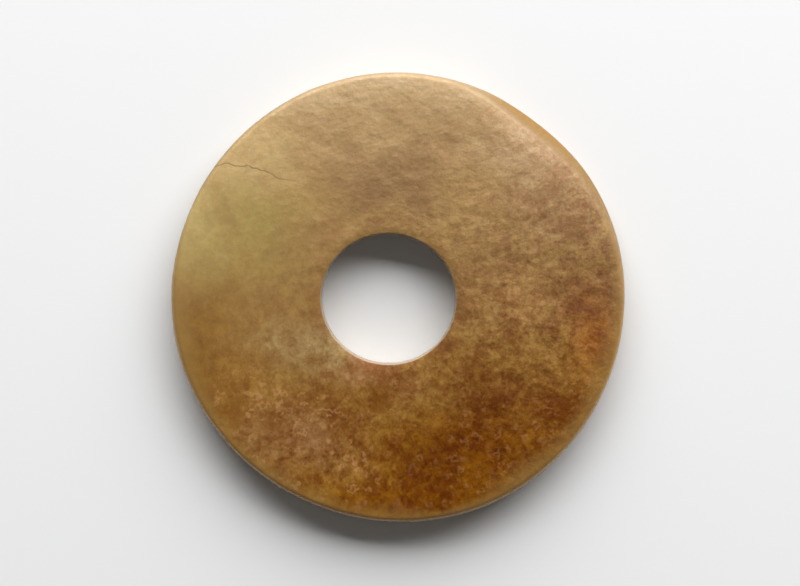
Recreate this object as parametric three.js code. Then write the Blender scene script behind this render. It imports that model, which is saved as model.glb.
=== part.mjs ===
// A plain jade bi: a hand-ground stone disc, pierced by a round hole a little off its middle.
// It lies flat on its underside. Millimetres, +Z up, +X right and +Y away as seen from above.
// The origin is at the middle of its outline, on the surface that it lies on.
import * as THREE from "three";

// Driving dimensions
const DIAMETER = 160;
const THICKNESS = 12;
const HOLE_DIAMETER = 46.3;
const HOLE_CENTRE = new THREE.Vector2(-3.5, -0.55);

// The hand-ground outline and hole aren't true circles. Each wave adds size * cos(count * (angle - at)).
const OUTLINE_WAVES = [
  { count: 2, size: 0.32, at: -14 },
  { count: 3, size: 0.13, at: 57 },
  { count: 4, size: 0.19, at: 18 },
];
const HOLE_WAVES = [{ count: 2, size: 0.25, at: -8 }];

// One stretch of the rim was rubbed away: the outline is flatter there, and above its middle the wall
// leans in and rolls over softly into the top face.
const RUBBED_AT = 52;
const FLAT_DEPTH = 0.8;
const FLAT_REACH = 20;
const LEAN_DEPTH = 3.1;
const LEAN_REACH = { clockwise: 55, anticlockwise: 29 };
const LEAN_WIDTH = 14;
const ROLL_DEPTH = 1.5;
const ROLL_WIDTH = 10;

// Section through the rim and the hole
const FACE_FALL = 0.6;
const FACE_FALL_WIDTH = 11;
const RIM_ROUND = { width: 2, height: 2.6 };
const RIM_BULGE = 0.3;
const HOLE_ROUND = 0.7;
const HOLE_RIDGE = 0.35;

// Fineness
const SEGMENTS = 96;
const HOLE_ROUND_STEPS = 3;
const FACE_STEPS = 2;
const FALL_STEPS = 4;
const RIM_ROUND_STEPS = 5;
const RIM_BULGE_STEPS = 2;

const RADIUS = DIAMETER / 2;
const WALL_RADIUS = RADIUS - RIM_BULGE;
const HOLE_RADIUS = HOLE_DIAMETER / 2;
const MIDDLE = THICKNESS / 2;

const clamp01 = (value) => THREE.MathUtils.clamp(value, 0, 1);
const toRad = THREE.MathUtils.degToRad;

// 1 where the angle is at the middle, falling smoothly to 0 at reach degrees to either side.
function swell(angle, middle, reach) {
  const away = THREE.MathUtils.euclideanModulo(angle - toRad(middle) + Math.PI, 2 * Math.PI) - Math.PI;
  const side = away < 0 ? reach.clockwise : reach.anticlockwise;
  return Math.cos((Math.PI / 2) * clamp01(Math.abs(away) / toRad(side))) ** 2;
}

const waves = (list, angle) =>
  list.reduce((sum, { count, size, at }) => sum + size * Math.cos(count * (angle - toRad(at))), 0);

const outlineRadius = (angle) =>
  RADIUS +
  waves(OUTLINE_WAVES, angle) -
  FLAT_DEPTH * swell(angle, RUBBED_AT, { clockwise: FLAT_REACH, anticlockwise: FLAT_REACH });

const holeRadius = (angle) => HOLE_RADIUS + waves(HOLE_WAVES, angle);

// How far the face has fallen at this distance out, on its way to the rim.
const fallen = (out) => FACE_FALL * ((out - WALL_RADIUS) / FACE_FALL_WIDTH + 1) ** 2;

// Evenly spaced shares, from the first step up to 1.
const shares = (steps) => Array.from({ length: steps }, (_, i) => (i + 1) / steps);

// The upper half of the section, from the hole's ridge over the top face to the widest point of the rim:
// x outwards, y above the middle.
function upperProfile() {
  const holeEdge = HOLE_RADIUS + HOLE_RIDGE;
  const wallTop = MIDDLE - HOLE_ROUND;
  const points = [new THREE.Vector2(HOLE_RADIUS, 0), new THREE.Vector2(holeEdge, wallTop)];
  for (const share of shares(HOLE_ROUND_STEPS)) {
    const turn = (Math.PI / 2) * share;
    points.push(
      new THREE.Vector2(holeEdge + HOLE_ROUND * (1 - Math.cos(turn)), wallTop + HOLE_ROUND * Math.sin(turn)),
    );
  }
  const faceStart = holeEdge + HOLE_ROUND;
  const fallStart = WALL_RADIUS - FACE_FALL_WIDTH;
  const roundStart = WALL_RADIUS - RIM_ROUND.width;
  for (const share of shares(FACE_STEPS)) {
    points.push(new THREE.Vector2(THREE.MathUtils.lerp(faceStart, fallStart, share), MIDDLE));
  }
  for (const share of shares(FALL_STEPS)) {
    const out = THREE.MathUtils.lerp(fallStart, roundStart, share);
    points.push(new THREE.Vector2(out, MIDDLE - fallen(out)));
  }
  for (const share of shares(RIM_ROUND_STEPS)) {
    const turn = (Math.PI / 2) * share;
    const out = roundStart + RIM_ROUND.width * Math.sin(turn);
    points.push(new THREE.Vector2(out, MIDDLE - fallen(out) - RIM_ROUND.height * (1 - Math.cos(turn))));
  }
  const roundFoot = MIDDLE - FACE_FALL - RIM_ROUND.height;
  for (const share of shares(RIM_BULGE_STEPS)) {
    const bulge = RIM_BULGE * Math.sin((Math.PI / 2) * share);
    points.push(new THREE.Vector2(WALL_RADIUS + bulge, roundFoot * (1 - share)));
  }
  return points;
}

// The whole section as a closed ring: the upper half, and the same mirrored below it.
function sectionProfile() {
  const upper = upperProfile();
  const lower = upper.slice(1, -1).map(({ x, y }) => new THREE.Vector2(x, -y));
  const ring = [...upper, ...lower.reverse(), upper[0]];
  return ring.map(({ x, y }) => new THREE.Vector2(x, y + MIDDLE)).reverse();
}

// Moves a point of the true round disc to its place in the hand-ground one.
function handGround(point) {
  const angle = Math.atan2(point.y, point.x);
  const out = Math.hypot(point.x, point.y);
  const share = (out - HOLE_RADIUS) / (RADIUS - HOLE_RADIUS);
  const raised = clamp01(point.z / MIDDLE - 1);
  const rubbed = swell(angle, RUBBED_AT, LEAN_REACH) * raised;
  const lean = LEAN_DEPTH * rubbed * THREE.MathUtils.smoothstep(out, RADIUS - LEAN_WIDTH, RADIUS);
  const roll = ROLL_DEPTH * rubbed * clamp01((out - WALL_RADIUS) / ROLL_WIDTH + 1) ** 2;
  const outwards = new THREE.Vector2(Math.cos(angle), Math.sin(angle));
  const atHole = outwards.clone().multiplyScalar(holeRadius(angle)).add(HOLE_CENTRE);
  const atRim = outwards.clone().multiplyScalar(outlineRadius(angle));
  const place = atHole.lerp(atRim, share).addScaledVector(outwards, -lean);
  return point.set(place.x, place.y, point.z - roll);
}

function discGeometry() {
  const geometry = new THREE.LatheGeometry(sectionProfile(), SEGMENTS).rotateX(Math.PI / 2);
  const positions = geometry.getAttribute("position");
  const point = new THREE.Vector3();
  for (let i = 0; i < positions.count; i++) {
    handGround(point.fromBufferAttribute(positions, i));
    positions.setXYZ(i, point.x, point.y, point.z);
  }
  geometry.computeBoundingBox();
  const centre = geometry.boundingBox.getCenter(new THREE.Vector3());
  geometry.translate(-centre.x, -centre.y, 0);
  geometry.computeVertexNormals();
  return geometry;
}

const jade = new THREE.MeshStandardMaterial({ color: 0x9c7442, roughness: 0.45, metalness: 0 });

const disc = new THREE.Mesh(discGeometry(), jade);
disc.name = "jade_disc";

const bi = new THREE.Group();
bi.add(disc);

export default bi;
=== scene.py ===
"""Looks for a plain jade bi: a hand-ground disc of honey, olive and russet nephrite.

It lies flat on a pale floor and is seen from straight above. Its shape is made in millimetres.
"""

import math

import bpy
import numpy as np
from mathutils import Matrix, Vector, noise


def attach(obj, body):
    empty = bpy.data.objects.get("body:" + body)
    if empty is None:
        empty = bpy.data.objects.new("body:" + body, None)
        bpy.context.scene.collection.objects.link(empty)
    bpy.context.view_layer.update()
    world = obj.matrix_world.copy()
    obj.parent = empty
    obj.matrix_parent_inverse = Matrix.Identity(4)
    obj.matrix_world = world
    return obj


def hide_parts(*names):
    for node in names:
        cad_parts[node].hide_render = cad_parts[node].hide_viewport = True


MM = 0.001

# The disc, in millimetres
DIAMETER = 160
THICKNESS = 12
HOLE_DIAMETER = 46
HOLE_CENTRE = (-3.5, -0.55)
OUTLINE_WAVES = ((2, 0.32, -14), (3, 0.13, 57), (4, 0.19, 18))  # count, size, angle
HOLE_WAVES = ((2, 0.4, -6),)
RUBBED_AT = 52
FLAT_DEPTH = 0.8
FLAT_REACH = 20
LEAN_DEPTH = 3.1
LEAN_CLOCKWISE = 55
LEAN_ANTICLOCKWISE = 29
LEAN_WIDTH = 14
FACE_FALL = 0.6
FACE_FALL_WIDTH = 11
RIM_ROUND_WIDTH = 2.0
RIM_ROUND_HEIGHT = 2.6
ROLL_DEPTH = 1.5
ROLL_WIDTH = 10
RIM_BULGE = 0.3
HOLE_ROUND = 0.6
HOLE_RIDGE = 0.3
HOLE_FALL = 0.3
HOLE_FALL_WIDTH = 3

RADIUS = DIAMETER / 2
WALL_RADIUS = RADIUS - RIM_BULGE
HOLE_RADIUS = HOLE_DIAMETER / 2
MIDDLE = THICKNESS / 2

# Fineness of the surface mesh
SEGMENTS = 640
UPPER_STEPS = dict(wall=2, hole_round=5, hole_fall=6, face=70, fall=15, rim_round=10, bulge=4)
UNDER_STEPS = dict(wall=2, hole_round=3, hole_fall=3, face=5, fall=4, rim_round=5, bulge=4)

# Relief of the surface, in millimetres: wavelength and height of each layer
LONG_SWELL = (34, 0.16)
RIPPLES = ((9, 0.3), (5.4, 0.26), (3.1, 0.12))
RIPPLE_STRETCH = 1.25
WALL_WAVES = (11, 0.12)


def swell(angle, middle, clockwise, anticlockwise):
    """1 where the angle is at the middle, falling smoothly to 0 at the reach on either side."""
    away = (angle - math.radians(middle) + math.pi) % (2 * math.pi) - math.pi
    reach = np.where(away < 0, math.radians(clockwise), math.radians(anticlockwise))
    return np.cos(math.pi / 2 * np.clip(np.abs(away) / reach, 0, 1)) ** 2


def waves(shape, angle):
    return sum(size * np.cos(count * (angle - math.radians(at))) for count, size, at in shape)


def smoothstep(value, start, end):
    share = np.clip((value - start) / (end - start), 0, 1)
    return share * share * (3 - 2 * share)


def fallen(out):
    """How far the face has fallen on its way to the rim."""
    return FACE_FALL * ((out - WALL_RADIUS) / FACE_FALL_WIDTH + 1) ** 2


def upper_profile(steps):
    """The section from the hole's ridge over one face to the widest point of the rim.

    Each point is its distance out and its height above the middle.
    """
    edge = HOLE_RADIUS + HOLE_RIDGE
    lip = MIDDLE - HOLE_FALL
    wall_top = lip - HOLE_ROUND
    points = [(HOLE_RADIUS, 0)]
    for i in range(1, steps["wall"] + 1):
        share = i / steps["wall"]
        points.append((HOLE_RADIUS + HOLE_RIDGE * share, wall_top * share))
    for i in range(1, steps["hole_round"] + 1):
        turn = math.pi / 2 * i / steps["hole_round"]
        points.append((edge + HOLE_ROUND * (1 - math.cos(turn)), wall_top + HOLE_ROUND * math.sin(turn)))
    for i in range(1, steps["hole_fall"] + 1):
        share = i / steps["hole_fall"]
        points.append((edge + HOLE_ROUND + HOLE_FALL_WIDTH * share, MIDDLE - HOLE_FALL * (1 - share) ** 2))
    face_start = edge + HOLE_ROUND + HOLE_FALL_WIDTH
    fall_start = WALL_RADIUS - FACE_FALL_WIDTH
    round_start = WALL_RADIUS - RIM_ROUND_WIDTH
    for i in range(1, steps["face"] + 1):
        points.append((face_start + (fall_start - face_start) * i / steps["face"], MIDDLE))
    for i in range(1, steps["fall"] + 1):
        out = fall_start + (round_start - fall_start) * i / steps["fall"]
        points.append((out, MIDDLE - fallen(out)))
    for i in range(1, steps["rim_round"] + 1):
        turn = math.pi / 2 * i / steps["rim_round"]
        out = round_start + RIM_ROUND_WIDTH * math.sin(turn)
        points.append((out, MIDDLE - fallen(out) - RIM_ROUND_HEIGHT * (1 - math.cos(turn))))
    round_foot = MIDDLE - FACE_FALL - RIM_ROUND_HEIGHT
    for i in range(1, steps["bulge"] + 1):
        share = i / steps["bulge"]
        points.append((WALL_RADIUS + RIM_BULGE * math.sin(math.pi / 2 * share), round_foot * (1 - share)))
    return points


def section():
    """The whole section as a ring of points, from the hole over the upper face and back under the disc."""
    upper = upper_profile(UPPER_STEPS)
    under = [(out, -height) for out, height in upper_profile(UNDER_STEPS)[1:-1]]
    return np.array([(out, height + MIDDLE) for out, height in upper + under[::-1]])


def hand_ground(out, height, angle):
    """Moves points of the true round disc to their places in the hand-ground one."""
    share = (out - HOLE_RADIUS) / (RADIUS - HOLE_RADIUS)
    near_rim = smoothstep(share, 1 - LEAN_WIDTH / (RADIUS - HOLE_RADIUS), 1)
    rubbed = swell(angle, RUBBED_AT, LEAN_CLOCKWISE, LEAN_ANTICLOCKWISE)
    raised = np.clip(height / MIDDLE - 1, 0, 1)
    lean = LEAN_DEPTH * rubbed * near_rim * raised
    hole_radius = HOLE_RADIUS + waves(HOLE_WAVES, angle)
    flat = FLAT_DEPTH * swell(angle, RUBBED_AT, FLAT_REACH, FLAT_REACH)
    outline = RADIUS + waves(OUTLINE_WAVES, angle) - flat
    reach = hole_radius * (1 - share) + outline * share - lean
    x = HOLE_CENTRE[0] * (1 - share) + reach * np.cos(angle)
    y = HOLE_CENTRE[1] * (1 - share) + reach * np.sin(angle)
    into_roll = np.clip((out - WALL_RADIUS) / ROLL_WIDTH + 1, 0, 1)
    roll = ROLL_DEPTH * rubbed * into_roll**2 * raised
    return np.stack([x, y, height - roll], axis=-1)


def surface_grid():
    """The smooth disc as rings of points, with each point's angle.

    Each point also has its share of the rim's side and of the hole's wall.
    """
    rings = section()
    angles = np.arange(SEGMENTS) * 2 * math.pi / SEGMENTS
    points = hand_ground(rings[:, None, 0], rings[:, None, 1], angles[None, :])
    low = points.reshape(-1, 3).min(axis=0)
    high = points.reshape(-1, 3).max(axis=0)
    points[..., :2] -= (low + high)[:2] / 2
    side = smoothstep(rings[:, 0], WALL_RADIUS - RIM_ROUND_WIDTH, WALL_RADIUS)
    bore = smoothstep(rings[:, 0], HOLE_RADIUS + HOLE_RIDGE + HOLE_ROUND, HOLE_RADIUS + HOLE_RIDGE)
    return points, *np.broadcast_arrays(side[:, None], bore[:, None], angles[None, :])


def normals_of(points):
    """Outward normals of a grid that closes on itself both ways."""
    along = np.roll(points, -1, axis=0) - np.roll(points, 1, axis=0)
    around = np.roll(points, -1, axis=1) - np.roll(points, 1, axis=1)
    normals = np.cross(around, along)
    normals /= np.linalg.norm(normals, axis=-1, keepdims=True)
    return -normals


def noise_over(points, stretch, seed):
    """Smooth noise between about -1 and 1 at each point, with one wavelength for each direction."""
    flat = points.reshape(-1, 3) / np.array(stretch) + seed
    values = [noise.noise(Vector(place)) for place in flat]
    return np.array(values).reshape(points.shape[:-1])


def relief(points, side, rubbed):
    """Height to add to the smooth surface, along its normal."""
    long_swell = LONG_SWELL[1] * noise_over(points, (LONG_SWELL[0],) * 3, 3.1)
    # Turned by 12 degrees, the way that the ripples run
    turned = points @ np.array([[0.978, -0.208, 0], [0.208, 0.978, 0], [0, 0, 1]])
    bend = noise_over(points, (6, 6, 6), 23.9)[..., None] * np.array([0.5, 1.5, 0])
    ripples = 0
    for wavelength, height in RIPPLES:
        stretch = (wavelength * RIPPLE_STRETCH, wavelength, wavelength)
        ripples -= height * np.sqrt(noise_over(turned + bend, stretch, 30 + wavelength) ** 2 + 0.01)
    uneven = 1 + 0.7 * noise_over(points, (15, 15, 15), 88.3)
    rippled = 0.22 + 0.78 * smoothstep(0.62 * points[..., 0] + 0.45 * points[..., 1], -32, 20)
    walls = WALL_WAVES[1] * noise_over(points, (WALL_WAVES[0],) * 3, 67.9)
    to_rim = RADIUS - np.linalg.norm(points[..., :2], axis=-1)
    worn = smoothstep(to_rim, 9, 4) * (0.3 + 0.7 * rubbed)
    on_face = (1 - side) * (1 - worn) * uneven * rippled
    return long_swell + on_face * ripples + side * (1 - 0.7 * rubbed) * walls


def disc_mesh():
    """The stone's surface, with its relief, and the attributes that the material reads."""
    points, side, bore, angles = surface_grid()
    rubbed = swell(angles, RUBBED_AT, LEAN_CLOCKWISE * 0.8, LEAN_ANTICLOCKWISE * 0.9)
    height = relief(points, side, rubbed)
    underside = smoothstep(-points[..., 2], -3, -0.5)
    height = np.where(points[..., 2] < 3, -np.abs(height) * underside, height)
    shaped = points + normals_of(points) * height[..., None]
    shaped[..., 2] = np.clip(shaped[..., 2], 0, None)
    rings, around = shaped.shape[:2]
    index = np.arange(rings * around).reshape(rings, around)
    next_ring = np.roll(index, -1, axis=0)
    faces = np.stack([index, next_ring, np.roll(next_ring, -1, axis=1), np.roll(index, -1, axis=1)], axis=-1)
    mesh = bpy.data.meshes.new("jade_surface")
    mesh.from_pydata((shaped.reshape(-1, 3) * MM).tolist(), [], faces.reshape(-1, 4).tolist())
    mesh.shade_smooth()
    for name, values in (("side", side), ("bore", bore), ("rubbed", rubbed * side)):
        layer = mesh.attributes.new(name, "FLOAT", "POINT")
        layer.data.foreach_set("value", values.astype(np.float32).ravel())
    mesh.validate()
    return mesh


# Shader building


def colour(red, green, blue):
    """A colour given as 0 to 255 on a screen, as the shader wants it."""
    shares = [value / 255 for value in (red, green, blue)]
    return [s / 12.92 if s <= 0.04045 else ((s + 0.055) / 1.055) ** 2.4 for s in shares] + [1]


class Shader:
    """Makes and joins the nodes of one material. A value is either a number or another node's output."""

    def __init__(self, name):
        self.material = bpy.data.materials.new(name)
        self.material.use_nodes = True
        self.tree = self.material.node_tree
        self.surface = self.tree.nodes["Principled BSDF"]

    def feed(self, socket, value):
        if isinstance(value, bpy.types.NodeSocket):
            self.tree.links.new(value, socket)
        else:
            socket.default_value = value

    def node(self, kind, inputs, **settings):
        made = self.tree.nodes.new(kind)
        for key, value in settings.items():
            setattr(made, key, value)
        for key, value in inputs.items():
            self.feed(made.inputs[key], value)
        return made

    def maths(self, operation, *values):
        return self.node("ShaderNodeMath", dict(enumerate(values)), operation=operation).outputs[0]

    def vector(self, operation, *values):
        made = self.node("ShaderNodeVectorMath", dict(enumerate(values)), operation=operation)
        return made.outputs["Value" if operation in ("LENGTH", "DISTANCE", "DOT_PRODUCT") else "Vector"]

    def scaled(self, vector, by):
        made = self.node("ShaderNodeVectorMath", {"Vector": vector, "Scale": by}, operation="SCALE")
        return made.outputs[0]

    def smooth(self, value, start, end, low=0.0, high=1.0):
        inputs = {"Value": value, "From Min": start, "From Max": end, "To Min": low, "To Max": high}
        return self.node("ShaderNodeMapRange", inputs, interpolation_type="SMOOTHSTEP").outputs[0]

    def ramp(self, value, start, end, low=0.0, high=1.0):
        inputs = {"Value": value, "From Min": start, "From Max": end, "To Min": low, "To Max": high}
        return self.node("ShaderNodeMapRange", inputs).outputs[0]

    def noise(self, place, wavelength, seed, detail=2.0, roughness=0.5, distortion=0.0):
        inputs = {
            "Vector": place,
            "W": seed,
            "Scale": 1 / wavelength,
            "Detail": detail,
            "Roughness": roughness,
            "Distortion": distortion,
        }
        return self.node("ShaderNodeTexNoise", inputs, noise_dimensions="4D").outputs["Fac"]

    def mix(self, share, under, over, blend="MIX"):
        made = self.tree.nodes.new("ShaderNodeMix")
        made.data_type = "RGBA"
        made.blend_type = blend
        self.feed(made.inputs[0], share)
        self.feed(made.inputs[6], under)
        self.feed(made.inputs[7], over)
        return made.outputs[2]

    def attribute(self, name):
        return self.node("ShaderNodeAttribute", {}, attribute_name=name).outputs["Fac"]

    def stretched(self, place, size, turn=0.0):
        inputs = {"Vector": place, "Rotation": (0, 0, math.radians(turn)), "Scale": size}
        return self.node("ShaderNodeMapping", inputs, vector_type="TEXTURE").outputs[0]

    def patch(self, place, centre, radii, turn=0.0, core=0.0):
        """1 at the middle of an oval, falling softly to 0 at its edge."""
        inputs = {
            "Vector": place,
            "Location": (*centre, 0),
            "Rotation": (0, 0, math.radians(turn)),
            "Scale": (*radii, 1000),
        }
        inside = self.node("ShaderNodeMapping", inputs, vector_type="TEXTURE").outputs[0]
        return self.smooth(self.vector("LENGTH", inside), 1, core)

    def part(self, vector, axis):
        return self.node("ShaderNodeSeparateXYZ", {"Vector": vector}).outputs[axis]

    def parts_of_colour(self, tone):
        return self.node("ShaderNodeSeparateColor", {"Color": tone}).outputs

    def product(self, first, *others):
        for other in others:
            first = self.maths("MULTIPLY", first, other)
        return first

    def drift(self, place, wavelength, seed):
        """A smooth random vector between about -0.5 and 0.5, for bending what depends on place."""
        inputs = {"Vector": place, "Scale": 1 / wavelength, "Detail": 3.0, "W": seed}
        made = self.node("ShaderNodeTexNoise", inputs, noise_dimensions="4D")
        return self.vector("SUBTRACT", made.outputs["Color"], (0.5, 0.5, 0.5))


# Stone colour with painted sheen, paler at the back, from the back to the front: place along y, colour
BODY_AND_SHEEN = (
    (78, (211, 183, 138)),
    (60, (186, 153, 102)),
    (36, (178, 142, 83)),
    (0, (166, 129, 70)),
    (-30, (168, 128, 63)),
    (-55, (177, 132, 47)),
    (-78, (169, 114, 17)),
)
# Broad soft areas: centre, radii, turn, colour, share
AREAS = (
    ((-56, 48), (38, 34), 35, (218, 191, 131), 0.6),
    ((-77, 20), (18, 30), 0, (255, 245, 167), 0.7),
    ((-72, 2), (20, 40), 0, (143, 103, 30), 0.6),
    ((-50, 24), (34, 30), 20, (171, 151, 78), 0.7),
    ((50, 46), (40, 28), -40, (202, 170, 129), 0.7),
    ((-4, 40), (32, 20), 0, (91, 46, 17), 0.4),
    ((30, -54), (58, 36), 10, (128, 68, 0), 0.85),
    ((73, -18), (22, 36), 0, (175, 97, 21), 0.55),
    ((-36, -52), (40, 24), 0, (161, 123, 96), 0.6),
    ((-10, -27), (26, 9), 0, (208, 159, 126), 0.5),
    ((-30, -18), (28, 18), 0, (202, 186, 140), 0.5),
    ((42, -2), (24, 18), 0, (211, 169, 109), 0.4),
)
# What the stone's colour is multiplied by where it is fully stained
STAIN = (0.54, 0.33, 0.11, 1)
SPECK = (0.55, 0.38, 0.16, 1)
VEIN = (0.66, 0.45, 0.25, 1)
BRUISE_HIGHLIGHT = (202, 150, 98)
RIM_GLOW = (160, 124, 66)
SIDE_BACK_SHADE = (104, 86, 48)
SIDE_FRONT_GLOW = (205, 160, 84)
RUBBED = (136, 97, 14)
BORE = (150, 132, 108)
FOOT_SHADE = (70, 52, 30)
CRACK_TONE = (112, 74, 38)
CRACK = (
    (-64, 46.4),
    (-60.1, 47.4),
    (-57.2, 46.2),
    (-53.3, 46.3),
    (-49.2, 45.1),
    (-45.3, 44),
    (-43.2, 42.5),
    (-40.9, 41.6),
    (-36.1, 40.9),
    (-32.6, 39.3),
    (-27, 40.2),
)


def broad_colour_and_sheen(s, place, drift):
    """Colour without stains: a back-to-front ramp with painted sheen at the back, and soft areas over it."""
    # Painted sheen: the ramp is paler towards the back, where the key light's haze falls.
    ramp = s.tree.nodes.new("ShaderNodeValToRGB")
    ramp.color_ramp.interpolation = "EASE"
    stops = ramp.color_ramp.elements
    while len(stops) < len(BODY_AND_SHEEN):
        stops.new(0.5)
    for stop, (y, tone) in zip(stops, reversed(BODY_AND_SHEEN)):
        stop.position = (y + RADIUS) / DIAMETER
        stop.color = colour(*tone)
    drifted = s.vector("MULTIPLY", s.vector("ADD", place, s.scaled(drift, 34.0)), (1, 1, 0))
    s.feed(ramp.inputs[0], s.maths("MULTIPLY_ADD", s.part(drifted, "Y"), 1 / DIAMETER, 0.5))
    stone = ramp.outputs["Color"]
    for centre, radii, turn, tone, share in AREAS:
        area = s.patch(drifted, centre, radii, turn)
        stone = s.mix(s.maths("MULTIPLY", area, share), stone, colour(*tone))
    return stone


def bruise_highlights(s, place, front):
    """Pale, broken rings where the surface was knocked, most in the front half; the paleness is painted
    highlight.
    """
    bent = s.vector("ADD", place, s.scaled(s.drift(place, 2.5, 71.0), 4.6))
    rings = 0.0
    for spacing, turn in ((5.4, 0), (3.3, 40)):
        oval = s.stretched(bent, (1.25, 1, 1), turn)
        cells = s.node("ShaderNodeTexVoronoi", {"Vector": oval, "Scale": 1 / spacing})
        size, chance, _ = s.parts_of_colour(cells.outputs["Color"])
        radius = s.maths("MULTIPLY_ADD", size, 0.16, 0.16)
        away = s.maths("ABSOLUTE", s.maths("SUBTRACT", cells.outputs["Distance"], radius))
        ring = s.product(s.smooth(away, 0.6 / spacing, 0.05 / spacing), s.smooth(chance, 0.25, 0.35))
        rings = s.maths("MAXIMUM", rings, ring)
    broken = s.smooth(s.noise(place, 1.9, 73.0, detail=1.0), 0.4, 0.54)
    return s.product(rings, broken, front)


def crack_line(s, place):
    """1 on the hairline crack at the back left, fading towards its inner end."""
    along = s.maths("MULTIPLY_ADD", s.part(place, "X"), 1 / DIAMETER, 0.5)
    curve = s.node("ShaderNodeFloatCurve", {"Value": along})
    points = curve.mapping.curves[0].points
    while len(points) < len(CRACK):
        points.new(0.5, 0.5)
    for point, (x, y) in zip(points, CRACK):
        point.location = (x / DIAMETER + 0.5, y / DIAMETER + 0.5)
        point.handle_type = "VECTOR"
    curve.mapping.update()
    crack_y = s.maths("MULTIPLY_ADD", curve.outputs[0], DIAMETER, -RADIUS)
    wobble = s.maths("MULTIPLY_ADD", s.noise(place, 1.6, 31.0), 1.2, -0.6)
    away = s.maths("ABSOLUTE", s.maths("ADD", s.maths("SUBTRACT", s.part(place, "Y"), crack_y), wobble))
    return s.maths("MULTIPLY", s.smooth(away, 0.45, 0.05), s.smooth(s.part(place, "X"), -29, -46))


def jade():
    s = Shader("jade")
    place = s.scaled(s.node("ShaderNodeTexCoord", {}).outputs["Object"], 1 / MM)
    from_middle = s.vector("LENGTH", s.vector("MULTIPLY", place, (1, 1, 0)))
    drift = s.drift(place, 26, 4.2)
    # 0 at the back left, where the stone is cleanest, to 1 at the front right
    forwards = s.vector("DOT_PRODUCT", place, (0.5, -0.8, 0))
    stained = s.smooth(forwards, -60, 50, 0.25, 1.0)
    stone = broad_colour_and_sheen(s, place, drift)

    # Stains, from clouds down to specks
    clouds = s.noise(s.vector("ADD", place, s.scaled(drift, 6.0)), 15, 7.0, detail=5.0, roughness=0.92)
    stone = s.mix(s.maths("MULTIPLY", s.ramp(clouds, 0.41, 0.59), stained), stone, STAIN, "MULTIPLY")
    specks = s.noise(place, 2.8, 15.0, detail=3.0, roughness=0.8, distortion=0.4)
    stone = s.mix(s.maths("MULTIPLY", s.ramp(specks, 0.4, 0.72), stained), stone, SPECK, "MULTIPLY")
    vein_noise = s.noise(place, 13, 91.0, detail=3.0, roughness=0.6, distortion=0.6)
    veins = s.smooth(s.maths("ABSOLUTE", s.maths("SUBTRACT", vein_noise, 0.5)), 0.012, 0.0)
    vein_area = s.smooth(s.noise(place, 21, 95.0), 0.5, 0.62)
    veins = s.product(veins, vein_area, s.smooth(forwards, 0, 40), 0.5)
    stone = s.mix(veins, stone, VEIN, "MULTIPLY")
    # Painted highlight: pale rings stand in for light caught on the rims of knocks in the stone.
    front_left = s.patch(place, (-40, -54), (48, 34), -30, 0.5)
    knocked = s.maths("MAXIMUM", front_left, s.smooth(forwards, 0, 50, 0.0, 0.4))
    knock_highlights = bruise_highlights(s, place, s.product(knocked, s.smooth(s.noise(place, 12, 29.0), 0.3, 0.5), 0.5))
    stone = s.mix(knock_highlights, stone, colour(*BRUISE_HIGHLIGHT))

    # Rim, its side and the rubbed stretch; the rim band and front side carry painted glow, the back side and
    # foot painted shade
    y = s.part(place, "Y")
    # Painted glow: a paler, yellower band inside the rim, strongest at the front, stands in for light
    # passing through the edge.
    uneven_rim = s.maths("MULTIPLY_ADD", s.noise(place, 24, 83.0), 14.0, 65.0)
    rim_glow = s.maths("MULTIPLY", s.smooth(from_middle, uneven_rim, 79), s.smooth(y, 45, 0, 0.1, 0.7))
    stone = s.mix(rim_glow, stone, colour(*RIM_GLOW))
    # Painted light on the side: pale at the front as a painted glow through the stone, dark at the back as
    # painted shade.
    side = s.mix(s.smooth(y, -50, 60), colour(*SIDE_FRONT_GLOW), colour(*SIDE_BACK_SHADE))
    stone = s.mix(s.maths("MULTIPLY", s.attribute("side"), 0.65), stone, side)
    stone = s.mix(s.attribute("rubbed"), stone, colour(*RUBBED))
    stone = s.mix(s.attribute("bore"), stone, colour(*BORE))
    # Painted shade: the lower part of the side, near the floor, is darkened.
    foot_shade = s.product(s.smooth(s.part(place, "Z"), 5.5, 2), s.attribute("side"), 0.6)
    stone = s.mix(foot_shade, stone, colour(*FOOT_SHADE))
    crack = crack_line(s, place)
    stone = s.mix(s.maths("MULTIPLY", crack, 0.5), stone, colour(*CRACK_TONE))

    # Fine bumps
    rippled = s.smooth(s.vector("DOT_PRODUCT", place, (0.62, 0.45, 0)), -32, 20, 0.22, 1.0)
    bent = s.vector("ADD", place, s.scaled(drift, 3.0))
    ripple = s.noise(s.stretched(bent, (1.2, 1, 1), 12), 1.5, 41.0, detail=2.0)
    height = s.maths("MULTIPLY", ripple, s.maths("MULTIPLY", rippled, 0.22))
    height = s.maths("SUBTRACT", height, s.maths("MULTIPLY", crack, 0.03))
    bump = s.node("ShaderNodeBump", {"Height": height, "Distance": 1.0 * MM, "Strength": 1.0})

    s.feed(s.surface.inputs["Base Color"], stone)
    s.feed(s.surface.inputs["Normal"], bump.outputs[0])
    dull = s.smooth(y, -50, 40, 0.26, 0.58)
    s.feed(s.surface.inputs["Roughness"], s.maths("ADD", dull, s.maths("MULTIPLY_ADD", clouds, 0.4, -0.2)))
    s.surface.inputs["IOR"].default_value = 1.61
    s.surface.inputs["Subsurface Weight"].default_value = 0.4
    s.surface.inputs["Subsurface Radius"].default_value = (1.0, 0.5, 0.22)
    s.surface.inputs["Subsurface Scale"].default_value = 2.5 * MM
    return s.material


def add_disc():
    mesh = disc_mesh()
    mesh.materials.append(jade())
    disc = bpy.data.objects.new("jade_surface", mesh)
    bpy.context.scene.collection.objects.link(disc)
    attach(disc, "root")
    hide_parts("jade_disc")


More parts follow.
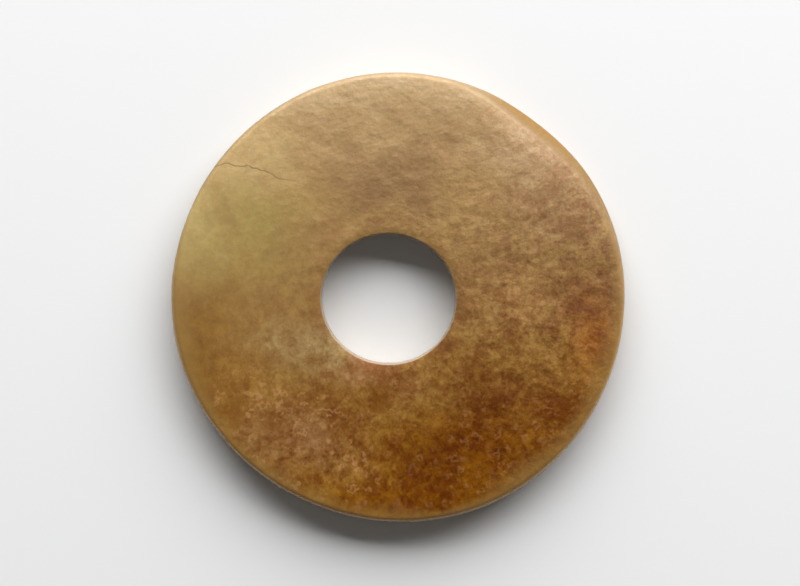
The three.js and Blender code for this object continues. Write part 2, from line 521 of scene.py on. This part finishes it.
def aim(thing, place, target, top=(0, 0, 1)):
    """Puts a camera or lamp at a place, facing a target."""
    thing.location = place
    thing.rotation_euler = (Vector(target) - Vector(place)).to_track_quat("-Z", "Y").to_euler()


# Light and camera
KEY_BEARING = 80
KEY_HEIGHT = 27
KEY_AWAY = 2.4
KEY_SIZE = (4.4, 2.2)
KEY_POWER = 184
FILL = 0.17
FILL_TINT = (0.97, 0.99, 1, 1)
LENS = 100
SENSOR = 36
VIEW_WIDTH = 283.9
VIEW_CENTRE = (0.71, 1.56)


def add_stage():
    bpy.ops.mesh.primitive_plane_add(size=6)
    floor = bpy.context.object
    floor.name = "floor"
    paper = Shader("paper")
    paper.surface.inputs["Base Color"].default_value = (0.88, 0.88, 0.88, 1)
    paper.surface.inputs["Roughness"].default_value = 0.9
    paper.surface.inputs["Specular IOR Level"].default_value = 0.1
    floor.data.materials.append(paper.material)

    world = bpy.data.worlds.new("studio")
    bpy.context.scene.world = world
    world.use_nodes = True
    nodes, links = world.node_tree.nodes, world.node_tree.links
    direction = nodes.new("ShaderNodeSeparateXYZ")
    links.new(nodes.new("ShaderNodeTexCoord").outputs["Generated"], direction.inputs[0])
    walls = nodes.new("ShaderNodeMapRange")
    walls.interpolation_type = "SMOOTHSTEP"
    for name, value in (("From Min", 0.95), ("From Max", 0.6), ("To Min", 0.0), ("To Max", FILL)):
        walls.inputs[name].default_value = value
    links.new(direction.outputs["Z"], walls.inputs["Value"])
    links.new(walls.outputs[0], nodes["Background"].inputs["Strength"])
    nodes["Background"].inputs["Color"].default_value = FILL_TINT

    key = bpy.data.objects.new("key", bpy.data.lights.new("key", "AREA"))
    key.data.shape = "RECTANGLE"
    key.data.size, key.data.size_y = KEY_SIZE
    key.data.energy = KEY_POWER
    bearing, height = math.radians(KEY_BEARING), math.radians(KEY_HEIGHT)
    flat = math.cos(height)
    towards = Vector((math.cos(bearing) * flat, math.sin(bearing) * flat, math.sin(height)))
    aim(key, towards * KEY_AWAY, (0, 0, 0))
    bpy.context.scene.collection.objects.link(key)


def add_camera():
    camera = bpy.data.objects.new("camera", bpy.data.cameras.new("camera"))
    camera.data.lens = LENS
    camera.data.sensor_width = SENSOR
    away = VIEW_WIDTH * LENS / SENSOR + MIDDLE
    camera.location = Vector((*VIEW_CENTRE, away)) * MM
    bpy.context.scene.collection.objects.link(camera)
    bpy.context.scene.camera = camera


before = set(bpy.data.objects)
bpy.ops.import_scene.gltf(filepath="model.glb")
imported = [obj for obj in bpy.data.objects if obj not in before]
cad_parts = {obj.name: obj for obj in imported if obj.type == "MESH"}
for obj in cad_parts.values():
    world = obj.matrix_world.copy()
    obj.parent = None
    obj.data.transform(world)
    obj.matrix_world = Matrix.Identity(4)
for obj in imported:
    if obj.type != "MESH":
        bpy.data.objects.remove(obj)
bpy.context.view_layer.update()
add_disc()
add_stage()
add_camera()
bpy.context.scene.view_settings.view_transform = "Standard"
